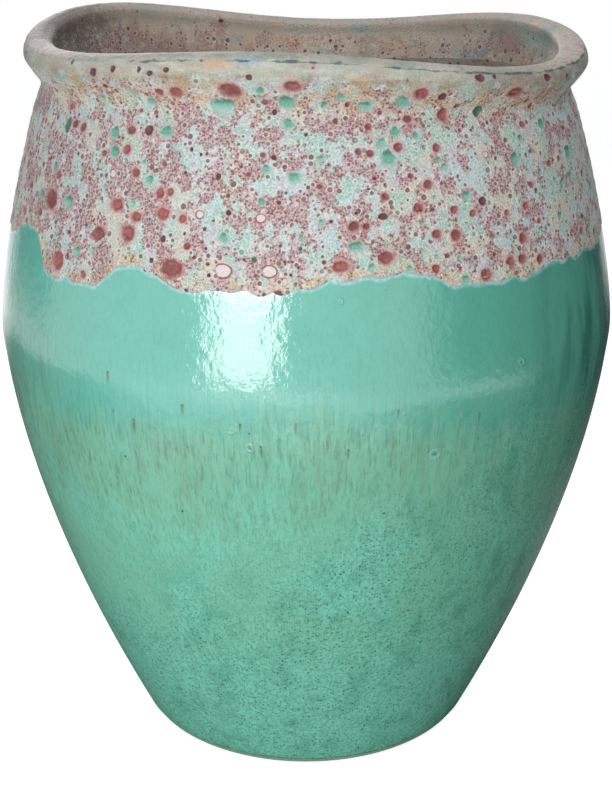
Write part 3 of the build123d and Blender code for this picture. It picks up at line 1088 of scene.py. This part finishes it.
class JAR_OT_crater_coats(bpy.types.Operator):
    """Turn the cratered coats of the shoulder, neck, rim and mouth and press their craters in"""

    bl_idname = "jar.crater_coats"
    bl_label = "Make Crater Coats"

    def execute(self, context):
        shape = jar_sizes()
        finish = crater_finish()
        seeds = sow_spots()
        mark, seam, top = shape.line_height, shape.collar_height, shape.rim_height
        coat, neck, wall = shape.crater_coat, shape.neck_radius, shape.wall_thickness

        def pressed_coat(name, outer, inner, core, skin, fade=SHIFT_FADE):
            """A coat turned from its outer and inner line, with the craters pressed in."""
            piece = turned_ring(name, outer + inner, shape.turns)
            finish_shape(
                piece, lambda geometry: press_craters(settle(geometry, *fade), seeds, core, skin)
            )
            piece.data.materials.append(finish)
            return piece

        # Shoulder: a rolled lower edge that hangs over the green, then up to the collar
        lip = [(SEAT, 0.003), (0.0012, 0.0), (0.0022, -0.0012), (0.0029, 0.0006)]
        outer = [(wall_radius(mark + up) + out, mark + up) for out, up in lip]
        outer += [(wall_radius(h) + coat, h) for h in steps(mark + 0.003, seam, 44)]
        inner = [(wall_radius(h) + SEAT, h) for h in steps(seam, mark + 0.01, 5)]

        def shoulder_skin(radius, level):
            proud = radius - wall_line(level)
            return proud.step(0.0024, 0.003) * carried(level, "rise").step(0.001, 0.007)

        fade = (mark + 0.004, mark + 0.05)
        shoulder = pressed_coat("shoulder_craters", outer, inner, None, shoulder_skin, fade)
        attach(shoulder, "root")
        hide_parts("shoulder_crater_glaze")

        # Neck: from the collar's seam up to the crease under the rolled rim
        halfway = (seam + NECK_FOOT) / 2
        line = collar_line() + [(neck + 0.0025 + coat, 0.712), (neck + 0.004 + coat, 0.7165)]
        inner = [(neck + 0.0032, 0.7165), (neck + SEAT, GROOVE), (neck + 0.0081, NECK_FOOT)]
        inner += [(wall_radius(halfway) + SEAT, halfway), (wall_radius(seam) + SEAT, seam)]

        def neck_skin(radius, level):
            return (radius - wall_line(level).most(neck)).step(0.001, 0.0024)

        outer = through(line, 0.00145)
        neck_coat = pressed_coat("neck_craters", outer, inner, None, neck_skin)
        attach(neck_coat, "root")

        # Rolled rim: from the crease over nose and crown down into the mouth
        corner = 1 - cos(radians(45))
        nose = neck + 0.0155 + coat
        mouth = neck - MOUTH_INSET - coat
        crest = top + coat
        core = (neck + 0.003, 0.731)
        line = [
            (neck + 0.0025 + coat, 0.7115),
            (neck + 0.008 + coat, 0.7185),
            (nose, top - 0.016),
            (nose - 0.008 * corner, crest - 0.008),
            (nose - 0.008, crest - 0.008 * corner),
            (neck - 0.0005, crest),
            (mouth + 0.005 * corner, crest - 0.005),
            (mouth, crest - 0.01),
            (mouth, top - 0.02),
            (neck - THROAT_INSET - coat, GROOVE),
        ]
        inner = [
            (neck - THROAT_INSET - SEAT, GROOVE),
            (mouth + coat - SEAT, top - 0.02),
            (mouth + coat, top - 0.01),
            (neck - 0.0005, top - 0.0005),
            (nose - coat - 0.002, top - 0.005),
            (nose - coat - 0.0005, top - 0.016),
            (neck + 0.0025, 0.713),
        ]

        def rim_skin(radius, level):
            out, up = radius - core[0], level - core[1]
            return (out * out + up * up).math("SQRT").step(0.0125, 0.0142)

        rim = pressed_coat("rim_craters", through(line, 0.0016), inner, core, rim_skin)
        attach(rim, "root")
        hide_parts("rim_crater_glaze")

        # Mouth: the inside of the neck, down to the collar's seam
        line = [
            (neck - THROAT_INSET - coat, GROOVE),
            (neck + NECK_FLARE - wall - coat, NECK_FOOT),
            (wall_radius(seam) - wall - coat, seam),
        ]
        inner = [(radius + coat - SEAT, height) for radius, height in reversed(line)]

        def mouth_skin(radius, level):
            return level.step(0.69, 0.7, 1.0, 0.8)

        outer = through(line, 0.0018)
        mouth_coat = pressed_coat("mouth_craters", outer, inner, "inside", mouth_skin)
        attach(mouth_coat, "root")
        bpy.data.objects.remove(seeds)
        return {"FINISHED"}


class JAR_OT_stage(bpy.types.Operator):
    """Set up the floor, the surroundings, the lamps and the camera"""

    bl_idname = "jar.stage"
    bl_label = "Set Up Studio"

    def lamp(self, name, size, place, target, watts, glossy=True, tone=(1, 1, 1)):
        """A rectangular lamp at a place, turned to a target."""
        bpy.ops.object.light_add(type="AREA", location=place)
        lamp = bpy.context.object
        lamp.name = name
        lamp.data.shape = "RECTANGLE"
        lamp.data.size, lamp.data.size_y = size
        lamp.data.energy = watts
        lamp.data.color = tone
        lamp.visible_glossy = glossy
        way = lamp.location.copy()
        for at in range(3):
            way[at] = target[at] - place[at]
        lamp.rotation_euler = way.to_track_quat("-Z", "Y").to_euler()

    def flag(self, name, low, high, tone, lying):
        """A dark card, seen only by the glaze, that keeps white out of the jar's edges."""
        bpy.ops.mesh.primitive_plane_add(size=1)
        card = bpy.context.object
        card.name = name
        for corner in card.data.vertices:
            x, y = corner.co[0] + 0.5, corner.co[1] + 0.5
            share = (x, y, 0.0) if lying else (x, x, y)
            corner.co = [low[at] + (high[at] - low[at]) * share[at] for at in range(3)]
        card.visible_camera = False
        card.visible_shadow = not lying
        card.visible_diffuse = not lying
        finish, shader = matt_finish(name, tone)
        along, up, _ = source(shader, "ShaderNodeTexCoord", "UV").parts()
        solid = along.step(0.0, 0.3) * along.step(1.0, 0.7) * up.step(0.0, 0.3) * up.step(1.0, 0.7)
        feed(shader.inputs["Alpha"], solid)
        card.data.materials.append(finish)

    def seen(self, shader):
        """1 for rays from the camera and through or off the glaze, else 0."""
        path = add_node(shader.id_data, "ShaderNodeLightPath").outputs
        seen = Wire(path["Is Camera Ray"]).most(Wire(path["Is Glossy Ray"]))
        return seen.most(Wire(path["Is Transmission Ray"]))

    def execute(self, context):
        studio = context.scene.studio
        bpy.ops.mesh.primitive_circle_add(vertices=96, radius=6, fill_type="NGON")
        floor = context.object
        floor.name = "floor"
        finish, shader = matt_finish("floor_paper", (0.7, 0.7, 0.7))
        shader.inputs["Emission Color"].default_value = (1, 1, 1, 1)
        feed(shader.inputs["Emission Strength"], self.seen(shader) * 0.8)
        floor.data.materials.append(finish)

        world = bpy.data.worlds.new("studio")
        context.scene.world = world
        world.use_nodes = True
        sky = world.node_tree.nodes["Background"]
        sky.inputs["Color"].default_value = (0.94, 0.97, 1, 1)
        sky.inputs["Strength"].default_value = studio.sky
        white = add_node(world.node_tree, "ShaderNodeBackground", {"Color": (1, 1, 1)})
        fed = {0: self.seen(sky), 1: Wire(sky.outputs[0]), 2: Wire(white.outputs[0])}
        mix = add_node(world.node_tree, "ShaderNodeMixShader", fed)
        feed(world.node_tree.nodes["World Output"].inputs["Surface"], Wire(mix.outputs[0]))

        power, middle, low = studio.window_power, (0, 0, 0.55), (0, 0, 0.4)
        self.lamp("window", (1.45, 0.42), (-1.18, -3.08, 1.12), middle, power * 0.5)
        self.lamp("window_low", (1.35, 0.86), (-1.2, -3.1, 0.47), middle, power * 0.6)
        self.lamp("top", (1.4, 1.4), (1.2, -0.9, 2.3), (0, 0, 0.65), studio.top_power, False)
        self.lamp("back", (1.2, 1.0), (-0.8, 2.6, 1.2), low, studio.back_power)
        cool = (0.93, 0.98, 1)
        self.lamp("fill", (2.0, 1.6), (-2.2, -1.3, 2.1), low, studio.fill_power, tone=cool)
        foot, power = (0, 0, 0.05), studio.front_power
        self.lamp("front", (1.4, 0.7), (-0.35, -2.2, 0.16), foot, power, False)
        dark, dim = (0.03, 0.033, 0.036), (0.1, 0.13, 0.11)
        self.flag("right_flag", (0.6, 1.6, -0.4), (3.0, -0.4, 1.9), dark, False)
        self.flag("side_flag", (2.4, 0.6, -0.4), (1.7, -2.4, 1.9), dark, False)
        self.flag("right_card", (-0.3, -0.9, 0.004), (3.4, 2.4, 0.004), dark, True)
        self.flag("front_card", (-0.9, -1.2, 0.006), (1.6, 0.4, 0.006), dim, True)
        self.flag("left_flag", (-2.4, 0.2, 0.0), (-1.1, 1.4, 1.5), dim, False)
        self.flag("left_card", (-2.2, -1.0, 0.005), (0.6, 1.7, 0.005), dim, True)

        bpy.ops.object.camera_add(location=(0, -1.559, 0.9), rotation=(radians(70.535), 0, 0))
        camera = context.object
        camera.data.lens = studio.lens
        camera.data.sensor_width = 36
        context.scene.camera = camera
        context.scene.view_settings.view_transform = "Standard"
        return {"FINISHED"}


class JAR_PT_panel(bpy.types.Panel):
    """Lists the jar's sizes, looks and steps"""

    bl_label = "Stoneware Jar"
    bl_idname = "JAR_PT_panel"
    bl_space_type = "VIEW_3D"
    bl_region_type = "UI"
    bl_category = "Jar"

    def draw(self, context):
        scene = context.scene
        for group in (getattr(scene, name) for name in GROUPS):
            box = self.layout.box()
            for name in group.bl_rna.properties.keys():
                if name not in ("name", "rna_type"):
                    box.prop(group, name)
        for step in OPERATORS:
            self.layout.operator(step.bl_idname)


GROUPS = {
    "jar_shape": JarShape,
    "crater_look": CraterLook,
    "glaze_look": GlazeLook,
    "clay_look": ClayLook,
    "studio": Studio,
}
OPERATORS = (JAR_OT_clay, JAR_OT_green_coat, JAR_OT_crater_coats, JAR_OT_stage)


def register():
    for name, group in GROUPS.items():
        bpy.utils.register_class(group)
        setattr(bpy.types.Scene, name, PointerProperty(type=group))
    for step in OPERATORS:
        bpy.utils.register_class(step)
    bpy.utils.register_class(JAR_PT_panel)


def unregister():
    bpy.utils.unregister_class(JAR_PT_panel)
    for step in reversed(OPERATORS):
        bpy.utils.unregister_class(step)
    for name, group in GROUPS.items():
        delattr(bpy.types.Scene, name)
        bpy.utils.unregister_class(group)


def main():
    register()
    bpy.ops.jar.clay()
    bpy.ops.jar.green_coat()
    bpy.ops.jar.crater_coats()
    bpy.ops.jar.stage()


if __name__ == "__main__":
    main()
